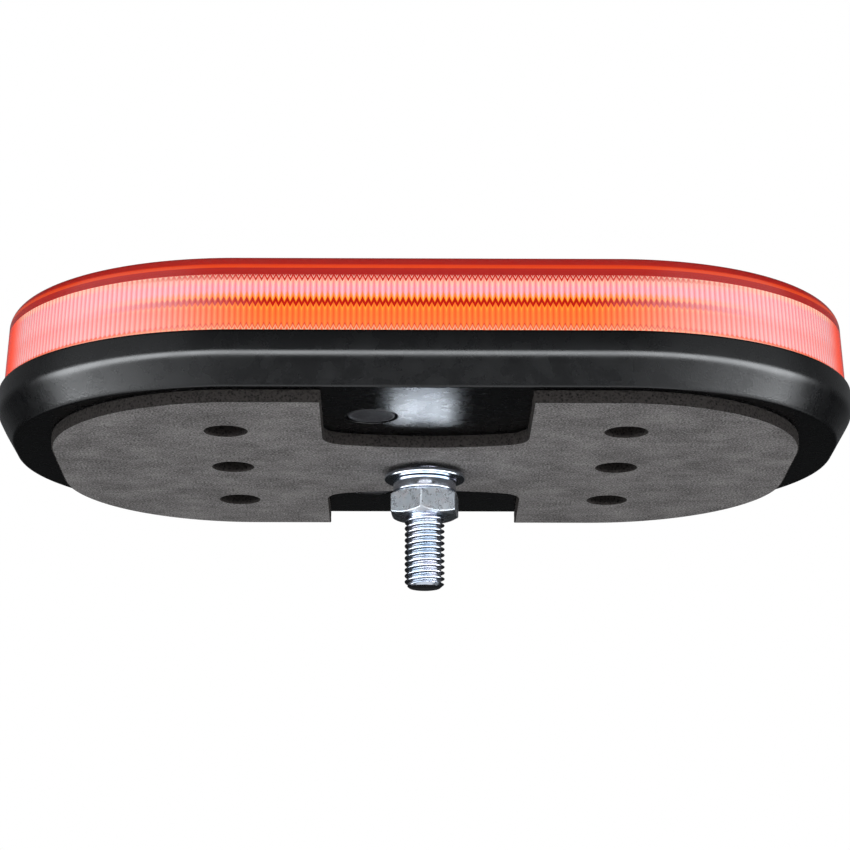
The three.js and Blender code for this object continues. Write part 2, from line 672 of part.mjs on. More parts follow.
// ---- Assembly ----
add('base_housing', baseHousing(), blackPlastic);
add('lens_cover', lensCover(), amber);
add('lens_gasket', lensGasket(), rubber);
add('foam_pad', foamPad(), foam);
add('mounting_bolt', mountingBolt(), zinc, model);
add('bolt_seal_ring', tubeRing(sealInner, sealOuter, floorZ - SEAL_THICKNESS, floorZ), rubber, model);
add('reinforcement_plate', cut(block(-PLATE_HALF, PLATE_HALF, -PLATE_HALF, PLATE_HALF, plateZ,
  plateZ + PLATE_THICKNESS), disc(boltHole, floorZ, headZ)), zinc, model);
add('flat_washer', tubeRing(boltHole, WASHER_RADIUS, washerZ, -WASHER_DROP), zinc, model);
add('spring_washer', springWasher(), zinc, model);
add('hex_nut', hexNut(), zinc, model).rotation.z = NUT_ANGLE;
add('vent_plug', plug(-PLUG_Y), blackPlastic);
add('cable_entry_plug', plug(PLUG_Y), blackPlastic);
add('led_tray', ledTray(), aluminium);
add('led_board_front', sideBoard(-1), boardWhite);
add('led_board_rear', sideBoard(1), boardWhite);
add('led_board_left', endBoard(-1), boardWhite);
add('led_board_right', endBoard(1), boardWhite);
addOptics();
addScrews();
add('driver_board', driverBoard(), boardGreen);
addDriverParts();
addLeads();

export default model;
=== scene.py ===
"""Looks of the LED warning beacon: amber fluted lens, black base, foam pad and zinc-plated M10 stud."""
import json
import math

import bmesh
import bpy
from mathutils import Matrix, Vector


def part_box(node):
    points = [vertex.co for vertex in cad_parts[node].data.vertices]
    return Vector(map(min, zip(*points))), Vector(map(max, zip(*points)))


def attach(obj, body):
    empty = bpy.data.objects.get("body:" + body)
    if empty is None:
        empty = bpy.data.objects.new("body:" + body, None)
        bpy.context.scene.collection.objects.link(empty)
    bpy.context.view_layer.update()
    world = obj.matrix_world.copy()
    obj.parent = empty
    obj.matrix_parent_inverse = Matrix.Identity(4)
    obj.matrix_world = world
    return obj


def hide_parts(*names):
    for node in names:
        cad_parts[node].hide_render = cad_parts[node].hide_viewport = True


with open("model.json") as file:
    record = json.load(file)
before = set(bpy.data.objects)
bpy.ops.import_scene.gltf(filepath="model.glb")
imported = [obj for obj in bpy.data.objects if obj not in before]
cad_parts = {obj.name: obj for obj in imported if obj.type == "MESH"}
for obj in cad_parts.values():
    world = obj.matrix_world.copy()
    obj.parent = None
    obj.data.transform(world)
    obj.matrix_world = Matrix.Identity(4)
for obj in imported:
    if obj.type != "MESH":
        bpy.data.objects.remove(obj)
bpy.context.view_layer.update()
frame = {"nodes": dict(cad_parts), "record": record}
NODES = frame["nodes"]
MM = 0.001

# Rounded outline of the housing: the box comes from the CAD, the flat stretch at each end is 9.2 mm.
HOUSING_LOW, HOUSING_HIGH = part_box("base_housing")
HALF_X = HOUSING_HIGH[0]
HALF_Y = (HOUSING_HIGH[1] - HOUSING_LOW[1]) / 2
MIDDLE_Y = (HOUSING_HIGH[1] + HOUSING_LOW[1]) / 2
END_HALF = 4.6 * MM
CORNER = HALF_Y - END_HALF
SIDE_HALF = HALF_X - CORNER
BOTTOM_Z = HOUSING_LOW[2]
RIM_Z = HOUSING_HIGH[2]
SPACING_INSET = 4 * MM  # evenly spaced points of the outline are spaced along this inset

# Lens: its wall's inset from the housing's outline at the rim, its lean, its top edge and its thickness.
LENS_INSET = 1.2 * MM
LENS_DRAFT = math.tan(math.radians(3.4))
LENS_TOP_RADIUS = 3.5 * MM
LENS_WALL = 4.4 * MM
LENS_TOP = 3.9 * MM

# The ring of flutes inside the glass of the wall: its two insets at the rim, and heights in mm.
FLUTES_ROUND = 415
POINTS_PER_FLUTE = 6
FLUTE_DEPTH = 0.42 * MM
FLUTE_INSET = 5.1 * MM
FLUTE_BACK_INSET = 6.4 * MM
FLUTE_HEIGHTS = [13.9, 15.9, 17.4, 19.0, 21.0, 23.0, 25.0, 27.0, 28.6, 29.6, 30.3]

# Painted bands of refracted light and shade on the flutes, from the first height to the second in mm: [where
# the band starts, colour].
BAND_RANGE = (15.0, 32.0)
CENTRE_PAINTED_BANDS = [
    (15.0, (0.90, 0.18, 0.12)), (16.6, (0.88, 0.34, 0.18)), (17.3, (0.95, 0.90, 0.75)),
    (17.75, (0.42, 0.02, 0.0)), (18.1, (0.90, 0.35, 0.11)), (20.0, (0.86, 0.31, 0.08)),
    (21.7, (0.86, 0.31, 0.07)), (22.7, (0.92, 0.48, 0.06)), (23.1, (0.38, 0.0, 0.0)),
    (24.1, (0.46, 0.01, 0.0)), (24.5, (0.95, 0.52, 0.03)), (25.2, (0.92, 0.58, 0.26)),
    (25.8, (0.84, 0.64, 0.96)), (27.6, (0.84, 0.67, 1.0)), (28.2, (0.90, 0.80, 0.78)),
    (29.1, (0.90, 0.78, 0.82)), (29.4, (0.42, 0.01, 0.0)), (30.0, (0.46, 0.01, 0.0)),
    (30.2, (0.95, 0.95, 1.0)), (30.6, (0.35, 0.0, 0.0)),
]
END_PAINTED_BANDS = [
    (15.0, (0.84, 0.60, 0.80)), (16.8, (0.90, 0.90, 1.0)), (17.3, (0.78, 0.24, 0.12)),
    (17.8, (0.84, 0.72, 0.98)), (22.0, (0.82, 0.60, 0.82)), (24.6, (0.82, 0.72, 1.0)),
    (28.6, (0.80, 0.70, 1.0)), (29.6, (0.90, 0.96, 1.0)), (30.2, (0.95, 1.0, 1.0)),
    (30.6, (0.75, 0.16, 0.04)),
]
# Distances from the middle: the centre's painted bands give way to the end's, and the painted light at the
# end turns orange and red.
CENTRE_TO_END = (34 * MM, 84 * MM)
PAINTED_ORANGE_END = (95.0 * MM, 98.8 * MM)
PAINTED_RED_END = (97.5 * MM, 100.9 * MM)
PAINTED_GLOW_RANGE = (30.0 * MM, 34.0 * MM)  # heights of the painted glow under the lens's top edge

# Foam, in mm: flat length of each end, the bays' width, corner, bow and reach, and the holes' radii.
FOAM_END_FLAT = 27.6
BAY_HALF_WIDTH = 24.4
BAY_CORNER = 6.0
BAY_BOW = 3.2
FRONT_BAY_REACH = 19.5
REAR_BAY_REACH = 24.5
SCREW_HOLE_RADIUS = 4.9
BOLT_HOLE_RADIUS = 5.25

# M10 x 1.5 fasteners.
PITCH = 1.5 * MM
CREST = 4.95 * MM
THREAD_DEPTH = 0.86 * MM
THREAD_START = 0.33 * MM
ROWS_PER_TURN = 14
NUT_FLATS = 16 * MM
NUT_BORE = 4.3 * MM
NUT_TURN = math.radians(-6.4)
HEAD_FLATS = 17 * MM
WASHER_BORE = 5.25 * MM

# Camera: it is 15 degrees below the horizon and 740 mm from the middle of the beacon.
CAMERA_LENS = 126.08
CAMERA_DISTANCE = 0.740
CAMERA_YAW = math.radians(-0.55)
CAMERA_TILT = math.radians(15.05)
CAMERA_TARGET = (0.00005, MIDDLE_Y, 0.01085)

# Soft boxes of the world: [azimuth, half width, elevation, half height, softness] in degrees, then
# radiance. Azimuth 0 is towards the camera, and elevation is above the horizon.
FAINT_SURROUND = 0.02
REFLECTED_PANELS = [
    (0, 95, -13, 11, 8, 7.8),
    (-52, 46, -13, 11, 8, 3.4),
    (52, 46, -13, 11, 8, 3.4),
    (-60, 34, 15, 28, 12, 0.45),
    (60, 34, 15, 28, 12, 0.45),
    (-85, 35, -38, 12, 16, 1.6),
    (85, 35, -38, 12, 16, 1.6),
    (0, 180, -78, 18, 14, 1.3),
    (-48, 38, -46, 12, 8, 0.9),
    (48, 38, -46, 12, 8, 0.9),
    (0, 180, 15, 14, 20, 0.13),
]
FLOOR_Z = -0.62


def centre_of(node):
    low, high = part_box(node)
    return (low[0] + high[0]) / 2, (low[1] + high[1]) / 2


def nodes_named(*starts):
    return sorted(node for node in NODES if node.startswith(starts))


# ---------------------------------------------------------------- mesh helpers
def make_object(name, verts, faces, materials, sharp=32):
    mesh = bpy.data.meshes.new(name)
    mesh.from_pydata([tuple(v) for v in verts], [], faces)
    mesh.validate()
    return finish_mesh(name, mesh, materials, sharp)


def finish_mesh(name, mesh, materials, sharp):
    """An object of the mesh, smooth except at edges sharper than the angle in degrees."""
    bm = bmesh.new()
    bm.from_mesh(mesh)
    bmesh.ops.recalc_face_normals(bm, faces=bm.faces)
    bm.to_mesh(mesh)
    bm.free()
    mesh.shade_smooth()
    mesh.set_sharp_from_angle(angle=math.radians(sharp))
    for material in materials:
        mesh.materials.append(material)
    obj = bpy.data.objects.new(name, mesh)
    bpy.context.scene.collection.objects.link(obj)
    return obj


def loft(rings, closed=False):
    """Vertices and faces of rings of equal length joined by quads; an open loft gets flat ends."""
    count = len(rings[0])
    verts = [v for ring in rings for v in ring]
    faces = []
    pairs = list(zip(range(len(rings) - 1), range(1, len(rings))))
    if closed:
        pairs.append((len(rings) - 1, 0))
    for a, b in pairs:
        for i in range(count):
            j = (i + 1) % count
            faces.append((a * count + i, a * count + j, b * count + j, b * count + i))
    if not closed:
        last = (len(rings) - 1) * count
        faces.append(tuple(reversed(range(count))))
        faces.append(tuple(range(last, last + count)))
    return verts, faces


def circle(radius, z, steps, x=0.0, y=0.0):
    angles = [2 * math.pi * i / steps for i in range(steps)]
    return [(x + radius * math.cos(a), y + radius * math.sin(a), z) for a in angles]


def lathe(name, profile, materials, steps, x=0.0, y=0.0, closed=False, sharp=32):
    """A turned piece. The profile is [radius, z] in metres; open profiles get flat ends."""
    rings = [circle(r, z, steps, x, y) for r, z in profile]
    verts, faces = loft(rings, closed=closed)
    return make_object(name, verts, faces, materials, sharp)


def ride(obj, body, slot, *nodes):
    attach(obj, body)
    if nodes:
        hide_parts(*nodes)


# The outline's skeleton, counter-clockwise from the right end: [kind, from, to, direction of the normal].
SPANS = [
    ("line", (SIDE_HALF, -END_HALF), (SIDE_HALF, END_HALF), 0.0),
    ("arc", (SIDE_HALF, END_HALF), None, 0.0),
    ("line", (SIDE_HALF, END_HALF), (-SIDE_HALF, END_HALF), 90.0),
    ("arc", (-SIDE_HALF, END_HALF), None, 90.0),
    ("line", (-SIDE_HALF, END_HALF), (-SIDE_HALF, -END_HALF), 180.0),
    ("arc", (-SIDE_HALF, -END_HALF), None, 180.0),
    ("line", (-SIDE_HALF, -END_HALF), (SIDE_HALF, -END_HALF), 270.0),
    ("arc", (SIDE_HALF, -END_HALF), None, 270.0),
]


def stepped_outline(corner_steps, straight_steps):
    """Points of the skeleton with their outward normals, in equal steps along each line and each arc."""
    points = []
    for kind, a, b, start in SPANS:
        steps = straight_steps if kind == "line" else corner_steps
        for i in range(steps):
            points.append(span_point(kind, a, b, start, i / steps))
    return points


def even_outline(count):
    """The same as stepped_outline, with count points evenly spaced all the way round."""
    points = []
    quarter = (CORNER - SPACING_INSET) * math.pi / 2
    lengths = [math.dist(a, b) if kind == "line" else quarter for kind, a, b, _ in SPANS]
    total = sum(lengths)
    for n in range(count):
        s = total * n / count
        for (kind, a, b, start), length in zip(SPANS, lengths):
            if s < length:
                points.append(span_point(kind, a, b, start, s / length))
                break
            s -= length
    return points


def span_point(kind, a, b, start, t):
    angle = math.radians(start + (90 * t if kind == "arc" else 0))
    x, y = a if kind == "arc" else (a[0] + (b[0] - a[0]) * t, a[1] + (b[1] - a[1]) * t)
    return x, y, math.cos(angle), math.sin(angle)


def ring_at(points, inset, z):
    """The housing's outline moved in by inset, at height z."""
    radius = CORNER - inset
    return [(x + nx * radius, MIDDLE_Y + y + ny * radius, z) for x, y, nx, ny in points]


def subtract(obj, cutters):
    """Cuts the given objects out of obj and applies the result to its mesh."""
    for cutter in cutters:
        modifier = obj.modifiers.new("cut", "BOOLEAN")
        modifier.operation = "DIFFERENCE"
        modifier.solver = "EXACT"
        modifier.object = cutter
    depsgraph = bpy.context.evaluated_depsgraph_get()
    mesh = bpy.data.meshes.new_from_object(obj.evaluated_get(depsgraph))
    obj.modifiers.clear()
    obj.data = mesh
    for cutter in cutters:
        bpy.data.objects.remove(cutter)
    mesh.shade_smooth()
    mesh.set_sharp_from_angle(angle=math.radians(28))


# ---------------------------------------------------------------- material helpers
class Nodes:
    """A small builder for one material's or world's node tree."""

    def __init__(self, tree):
        self.tree = tree
        tree.nodes.clear()

    def add(self, kind, inputs=None, **settings):
        node = self.tree.nodes.new(kind)
        for key, value in settings.items():
            setattr(node, key, value)
        for key, value in (inputs or {}).items():
            self.put(node.inputs[key], value)
        return node

    def put(self, socket, value):
        if isinstance(value, bpy.types.NodeSocket):
            self.tree.links.new(value, socket)
        else:
            socket.default_value = value

    def math(self, operation, *values):
        node = self.add("ShaderNodeMath", operation=operation)
        for socket, value in zip(node.inputs, values):
            self.put(socket, value)
        return node.outputs[0]

    def smooth(self, value, low, high, out_low=0.0, out_high=1.0):
        node = self.add("ShaderNodeMapRange", {"Value": value, "From Min": low, "From Max": high,
                                               "To Min": out_low, "To Max": out_high},
                        interpolation_type="SMOOTHSTEP")
        return node.outputs["Result"]

    def noise(self, vector, scale, detail=2.0, roughness=0.5):
        node = self.add("ShaderNodeTexNoise", {"Vector": vector, "Scale": scale, "Detail": detail,
                                               "Roughness": roughness})
        return node.outputs["Fac"]

    def cells(self, vector, scale):
        return self.add("ShaderNodeTexVoronoi", {"Vector": vector, "Scale": scale}).outputs["Distance"]

    def between(self, value, low, high):
        """The value's place between low and high, from 0 to 1."""
        node = self.add("ShaderNodeMapRange", {"Value": value, "From Min": low, "From Max": high})
        return node.outputs["Result"]

    def mix(self, factor, a, b, blend_type="MIX"):
        node = self.add("ShaderNodeMix", {"Factor": factor}, data_type="RGBA", blend_type=blend_type)
        self.put(node.inputs["A"], a)
        self.put(node.inputs["B"], b)
        return node.outputs["Result"]

    def ramp(self, value, stops):
        node = self.add("ShaderNodeValToRGB", {"Fac": value})
        elements = node.color_ramp.elements
        while len(elements) < len(stops):
            elements.new(0.5)
        for element, (position, color) in zip(elements, stops):
            element.position = position
            element.color = (*color, 1.0)
        return node.outputs["Color"]

    def bump(self, height, strength, distance):
        inputs = {"Height": height, "Strength": strength, "Distance": distance}
        return self.add("ShaderNodeBump", inputs).outputs["Normal"]

    def position(self):
        return self.add("ShaderNodeTexCoord").outputs["Object"]


def new_material(name, build):
    """A material whose build(nodes, position, output) returns the inputs of its shader."""
    material = bpy.data.materials.new(name)
    material.use_nodes = True
    nodes = Nodes(material.node_tree)
    shader = nodes.add("ShaderNodeBsdfPrincipled")
    output = nodes.add("ShaderNodeOutputMaterial")
    nodes.put(output.inputs["Surface"], shader.outputs[0])
    settings = build(nodes, nodes.position(), output)
    for key, value in settings.items():
        nodes.put(shader.inputs[key], value)
    return material


# ---------------------------------------------------------------- materials
def housing_plastic(n, at, output):
    # Spark-eroded grain: coarse below the rim, nearly smooth on the bend and the upright band.
    height = n.add("ShaderNodeSeparateXYZ", {"Vector": at}).outputs["Z"]
    below = n.smooth(height, 8.9 * MM, 8.0 * MM)
    strength = n.math("MULTIPLY_ADD", below, 0.16, 0.03)
    grain = n.noise(at, 2000.0, 2.0, 0.6)
    pits = n.cells(at, 2600.0)
    relief = n.math("MULTIPLY_ADD", pits, 0.5, grain)
    roughness = n.smooth(n.noise(at, 240.0, 3.0), 0.3, 0.7, 0.25, 0.30)
    color = n.ramp(n.noise(at, 60.0, 4.0), [(0.3, (0.0030, 0.0031, 0.0036)),
                                            (0.7, (0.0044, 0.0046, 0.0052))])
    return {"Base Color": color, "Roughness": roughness, "IOR": 1.5,
            "Normal": n.bump(relief, strength, 0.00016)}


def foam_skin(n, at, output):
    cells = n.cells(at, 2000.0)
    speckle = n.noise(at, 1900.0, 2.0, 0.75)
    cloud = n.noise(at, 70.0, 5.0, 0.62)
    turned = n.add("ShaderNodeMapping", {"Vector": at, "Rotation": (0.0, 0.0, 0.7),
                                         "Scale": (1.0, 1.8, 1.0)}).outputs[0]
    smear = n.noise(turned, 150.0, 3.0, 0.6)
    tone = n.math("MULTIPLY_ADD", cloud, 0.40, n.math("MULTIPLY", smear, 0.22))
    tone = n.math("ADD", tone, n.math("MULTIPLY", speckle, 1.25))
    tone = n.math("MULTIPLY", tone, 0.53)
    color = n.ramp(tone, [(0.38, (0.076, 0.072, 0.071)), (0.49, (0.245, 0.233, 0.231)),
                          (0.60, (0.500, 0.480, 0.472))])
    relief = n.math("MULTIPLY_ADD", cells, 0.8, speckle)
    return {"Base Color": color, "Roughness": 0.92, "Specular IOR Level": 0.15,
            "Normal": n.bump(relief, 0.55, 0.00025)}


def foam_cut_and_shade(n, at, output):
    # The cut edge is much darker than the skin: partly its open cells, partly painted shade for the weak
    # light on the upright edge.
    cells = n.cells(at, 1500.0)
    speckle = n.noise(at, 2200.0, 3.0, 0.7)
    tone = n.math("MULTIPLY_ADD", cells, 0.5, speckle)
    color = n.ramp(tone, [(0.45, (0.005, 0.0045, 0.0045)), (0.80, (0.056, 0.050, 0.047))])
    return {"Base Color": color, "Roughness": 0.96, "Specular IOR Level": 0.1,
            "Normal": n.bump(tone, 0.8, 0.0005)}


def zinc_plate(n, at, output):
    # Blue-white plating with a faint pink and straw drift.
    drift = n.noise(at, 180.0, 3.0, 0.5)
    color = n.ramp(drift, [(0.32, (0.40, 0.46, 0.53)), (0.50, (0.48, 0.51, 0.57)),
                           (0.68, (0.55, 0.53, 0.59))])
    marks = n.noise(at, 900.0, 3.0, 0.6)
    roughness = n.smooth(marks, 0.3, 0.75, 0.15, 0.22)
    return {"Base Color": color, "Metallic": 1.0, "Roughness": roughness,
            "Normal": n.bump(marks, 0.02, 0.0001)}


def forged_zinc_painted_bright(n, at, output):
    # The same plating over the slightly uneven faces of a forged nut, painted much brighter than the other
    # zinc parts as a lit copy of the plating.
    drift = n.noise(at, 320.0, 3.0, 0.6)
    color = n.ramp(drift, [(0.32, (0.72, 0.79, 0.86)), (0.52, (0.80, 0.85, 0.91)),
                           (0.70, (0.88, 0.88, 0.92))])
    marks = n.noise(at, 800.0, 3.0, 0.55)
    roughness = n.smooth(marks, 0.3, 0.75, 0.26, 0.32)
    return {"Base Color": color, "Metallic": 1.0, "Roughness": roughness,
            "Normal": n.bump(marks, 0.02, 0.0001)}


def plain_zinc(n, at, output):
    marks = n.noise(at, 1100.0, 4.0, 0.6)
    color = n.ramp(marks, [(0.35, (0.46, 0.48, 0.50)), (0.70, (0.62, 0.64, 0.66))])
    return {"Base Color": color, "Metallic": 1.0, "Roughness": n.smooth(marks, 0.3, 0.7, 0.28, 0.45),
            "Normal": n.bump(marks, 0.15, 0.0001)}


def plug_plastic(n, at, output):
    grain = n.noise(at, 2600.0, 3.0, 0.7)
    cloud = n.noise(at, 420.0, 3.0)
    color = n.ramp(cloud, [(0.3, (0.020, 0.020, 0.024)), (0.7, (0.048, 0.047, 0.052))])
    return {"Base Color": color, "Roughness": n.smooth(grain, 0.3, 0.7, 0.45, 0.6),
            "Normal": n.bump(grain, 0.4, 0.00015)}


def rubber(n, at, output):
    grain = n.noise(at, 1800.0, 3.0)
    color = n.ramp(grain, [(0.3, (0.016, 0.016, 0.017)), (0.7, (0.030, 0.030, 0.032))])
    return {"Base Color": color, "Roughness": 0.8, "Normal": n.bump(grain, 0.3, 0.0001)}


def amber_shell(n, at, output):
    absorb = n.add("ShaderNodeVolumeAbsorption", {"Color": (0.972, 0.55, 0.25, 1.0), "Density": 170.0})
    n.put(output.inputs["Volume"], absorb.outputs[0])
    flow = n.noise(at, 90.0, 2.0)
    return {"Base Color": (1.0, 0.93, 0.86, 1.0), "Transmission Weight": 1.0, "IOR": 1.585,
            "Roughness": n.smooth(flow, 0.3, 0.7, 0.0, 0.02), "Normal": n.bump(flow, 0.05, 0.0002)}


def painted_flute_light(n, at, output):
    """Amber flutes with painted light: refracted light and shade are painted as glowing bands by height,
    which run in a zigzag from flute to flute.
    """
    parts = n.add("ShaderNodeSeparateXYZ", {"Vector": at})
    sideways = n.math("ABSOLUTE", parts.outputs["X"])
    flute = n.add("ShaderNodeAttribute", attribute_name="flute").outputs["Fac"]
    far = n.smooth(sideways, *CENTRE_TO_END)
    near = n.math("SUBTRACT", 1.0, far)
    swing = n.math("MULTIPLY", flute, n.math("MULTIPLY_ADD", near, 0.60 * MM, 0.15 * MM))
    height = n.math("ADD", parts.outputs["Z"], swing)
    level = n.between(height, BAND_RANGE[0] * MM, BAND_RANGE[1] * MM)
    bands = n.mix(far, n.ramp(level, band_stops(CENTRE_PAINTED_BANDS)), n.ramp(level, band_stops(END_PAINTED_BANDS)))
    # Painted shade: each flute is a little darker and redder on one side.
    red = n.math("MULTIPLY_ADD", flute, 0.08, 0.94)
    rest = n.math("MULTIPLY_ADD", flute, 0.36, 0.86)
    shade = n.add("ShaderNodeCombineColor", {"Red": red, "Green": rest, "Blue": rest}).outputs[0]
    fluted = n.mix(1.0, bands, shade, "MULTIPLY")
    # Painted light: towards each end the pink fades into orange, and into red at the very edge.
    outer = n.math("MULTIPLY_ADD", parts.outputs["Z"], 0.055, sideways)
    rim = n.ramp(n.smooth(outer, *PAINTED_RED_END), [(0.0, (1.0, 0.11, 0.0)), (0.45, (1.0, 0.075, 0.0)),
                                             (0.8, (0.85, 0.03, 0.0)), (1.0, (0.55, 0.005, 0.0))])
    color = n.mix(n.smooth(outer, *PAINTED_ORANGE_END), fluted, rim)
    # Painted glow: the flutes emit their painted colour.
    return {"Base Color": color, "Roughness": 0.35, "Emission Color": color, "Emission Strength": 0.85}


def band_stops(bands):
    low, high = BAND_RANGE
    return [((height - low) / (high - low), color) for height, color in bands]


def painted_shoulder_glow(n, at, output):
    """Painted light caught under the lens's top edge: a glowing orange line painted between two dark red
    ones.
    """
    height = n.add("ShaderNodeSeparateXYZ", {"Vector": at}).outputs["Z"]
    color = n.ramp(n.between(height, *PAINTED_GLOW_RANGE), [
        (0.05, (0.42, 0.002, 0.0)), (0.30, (0.46, 0.002, 0.0)), (0.37, (0.86, 0.085, 0.0)),
        (0.47, (0.80, 0.055, 0.0)), (0.58, (0.42, 0.002, 0.0)), (0.92, (0.34, 0.001, 0.0))])
    flow = n.noise(at, 300.0, 2.0)
    # Painted glow: the band emits its painted colour.
    return {"Base Color": color, "Roughness": 0.4, "Emission Color": color, "Emission Strength": 0.5,
            "Normal": n.bump(flow, 0.05, 0.0001)}


def aluminium(n, at, output):
    drawn = n.add("ShaderNodeMapping", {"Vector": at, "Scale": (1.0, 12.0, 12.0)}).outputs[0]
    brush = n.noise(drawn, 400.0, 4.0)
    color = n.ramp(brush, [(0.3, (0.62, 0.63, 0.64)), (0.7, (0.76, 0.77, 0.78))])
    return {"Base Color": color, "Metallic": 1.0, "Roughness": n.smooth(brush, 0.3, 0.7, 0.32, 0.5),
            "Normal": n.bump(brush, 0.08, 0.0001)}


def white_mask(n, at, output):
    tone = n.noise(at, 300.0, 3.0)
    color = n.ramp(tone, [(0.3, (0.76, 0.77, 0.74)), (0.7, (0.84, 0.85, 0.82))])
    return {"Base Color": color, "Roughness": 0.4, "Normal": n.bump(tone, 0.1, 0.0001)}


def green_mask(n, at, output):
    tracks = n.add("ShaderNodeTexBrick", {
        "Vector": at, "Scale": 320.0, "Mortar Size": 0.03, "Bias": 0.0, "Mortar": (0.03, 0.21, 0.09, 1.0),
        "Color1": (0.012, 0.11, 0.045, 1.0), "Color2": (0.016, 0.13, 0.055, 1.0)})
    return {"Base Color": tracks.outputs["Color"], "Roughness": 0.35,
            "Normal": n.bump(tracks.outputs["Fac"], 0.15, 0.0001)}


def clear_acrylic(n, at, output):
    flow = n.noise(at, 150.0, 2.0)
    return {"Base Color": (0.97, 0.98, 0.98, 1.0), "Transmission Weight": 0.9, "IOR": 1.49,
            "Roughness": n.smooth(flow, 0.3, 0.7, 0.03, 0.09), "Normal": n.bump(flow, 0.05, 0.0002)}


def wire_sleeve(n, at, output):
    tone = n.noise(at, 500.0, 3.0)
    color = n.ramp(tone, [(0.3, (0.42, 0.035, 0.02)), (0.7, (0.55, 0.06, 0.04))])
    return {"Base Color": color, "Roughness": 0.35, "Normal": n.bump(tone, 0.1, 0.0001)}


def can_sleeve(n, at, output):
    tone = n.noise(at, 700.0, 3.0)
    color = n.ramp(tone, [(0.3, (0.52, 0.54, 0.56)), (0.7, (0.66, 0.68, 0.70))])
    return {"Base Color": color, "Metallic": 0.9, "Roughness": 0.3, "Normal": n.bump(tone, 0.06, 0.0001)}


def moulded_white(n, at, output):
    tone = n.noise(at, 400.0, 3.0)
    color = n.ramp(tone, [(0.3, (0.74, 0.74, 0.70)), (0.7, (0.84, 0.84, 0.80))])
    return {"Base Color": color, "Roughness": 0.45, "Normal": n.bump(tone, 0.1, 0.0001)}


def moulded_black(n, at, output):
    tone = n.noise(at, 1400.0, 3.0)
    color = n.ramp(tone, [(0.3, (0.020, 0.020, 0.022)), (0.7, (0.040, 0.040, 0.043))])
    return {"Base Color": color, "Roughness": 0.5, "Normal": n.bump(tone, 0.25, 0.0001)}


def pale_floor(n, at, output):
    color = n.ramp(n.noise(at, 3.0), [(0.3, (0.86, 0.86, 0.86)), (0.7, (0.89, 0.89, 0.89))])
    return {"Base Color": color, "Roughness": 0.9}


BUILDERS = {
    "housing": housing_plastic, "lens": amber_shell, "rubber": rubber, "foam": foam_skin, "zinc": zinc_plate,
    "steel": plain_zinc, "plug": plug_plastic, "tray": aluminium, "led_board": white_mask,
    "optic": clear_acrylic, "driver_board": green_mask, "lead": wire_sleeve, "capacitor": can_sleeve,
    "terminal": moulded_white, "chip": moulded_black,
}
MATERIALS = {slot: new_material(slot, build) for slot, build in BUILDERS.items()}
FOAM_CUT_AND_SHADE = new_material("foam_cut_and_shade", foam_cut_and_shade)
FLUTES = new_material("lens_flutes", painted_flute_light)
PAINTED_SHOULDER_GLOW = new_material("lens_painted_glow_band", painted_shoulder_glow)
FORGED_PAINTED_BRIGHT = new_material("forged_zinc_painted_bright", forged_zinc_painted_bright)


# ---------------------------------------------------------------- carried-over CAD nodes
for part in frame["record"]["subparts"]:
    materials = NODES[part["node"]].data.materials
    materials.clear()
    materials.append(MATERIALS[part["material_slot"]])


# ---------------------------------------------------------------- base housing
def housing_cutter(radius, ease, depth, steps, x=0.0, y=0.0):
    """A round hole up into the flat bottom, with an eased mouth."""
    profile = [(radius + 0.15 * MM, BOTTOM_Z - MM), (radius, BOTTOM_Z + ease), (radius, BOTTOM_Z + depth)]
    return lathe("cutter", profile, [MATERIALS["housing"]], steps, x, y)


def base_housing():
    m = MM
    b = BOTTOM_Z
    r = RIM_Z
    # Half section from the flat bottom up the skirt and over the rim: [inset in mm, height].
    profile = [(4.7, b), (4.25, b + 0.03 * m), (3.95, b + 0.16 * m), (3.72, b + 0.42 * m),
               (3.5, b + 0.85 * m), (1.18, b + 4.85 * m), (0.90, b + 5.35 * m),
               (0.62, b + 5.85 * m), (0.40, b + 6.3 * m), (0.22, b + 6.75 * m), (0.09, b + 7.2 * m),
               (0.02, b + 7.6 * m), (0.0, b + 7.9 * m),
               (0.0, r - 0.7 * m), (0.06, r - 0.36 * m), (0.22, r - 0.12 * m), (0.48, r - 0.01 * m),
               (0.9, r), (0.9, b + 8.7 * m), (4.6, b + 8.7 * m), (4.6, b + 5.0 * m), (6.5, b + 3.0 * m)]
    points = stepped_outline(48, 8)
    verts, faces = loft([ring_at(points, inset * m, z) for inset, z in profile])
    obj = make_object("housing_shell", verts, faces, [MATERIALS["housing"]], 28)
    wells = [housing_cutter(4.1 * m, 0.15 * m, 5.3 * m, 64, *centre_of(node))
             for node in nodes_named("tray_screw")]
    recesses = [housing_cutter(6.4 * m, 0.15 * m, 1.5 * m, 72, *centre_of(node))
                for node in ("vent_plug", "cable_entry_plug")]
    bore = housing_cutter(5.25 * m, 0.2 * m, 4 * m, 72)
    subtract(obj, [*wells, *recesses, bore])
    ride(obj, "housing", "housing", "base_housing")


# ---------------------------------------------------------------- lens
def leaned(inset, z):
    """An inset that is given at the rim, carried up the leaning wall to height z."""
    return inset + max(0.0, z - RIM_Z) * LENS_DRAFT


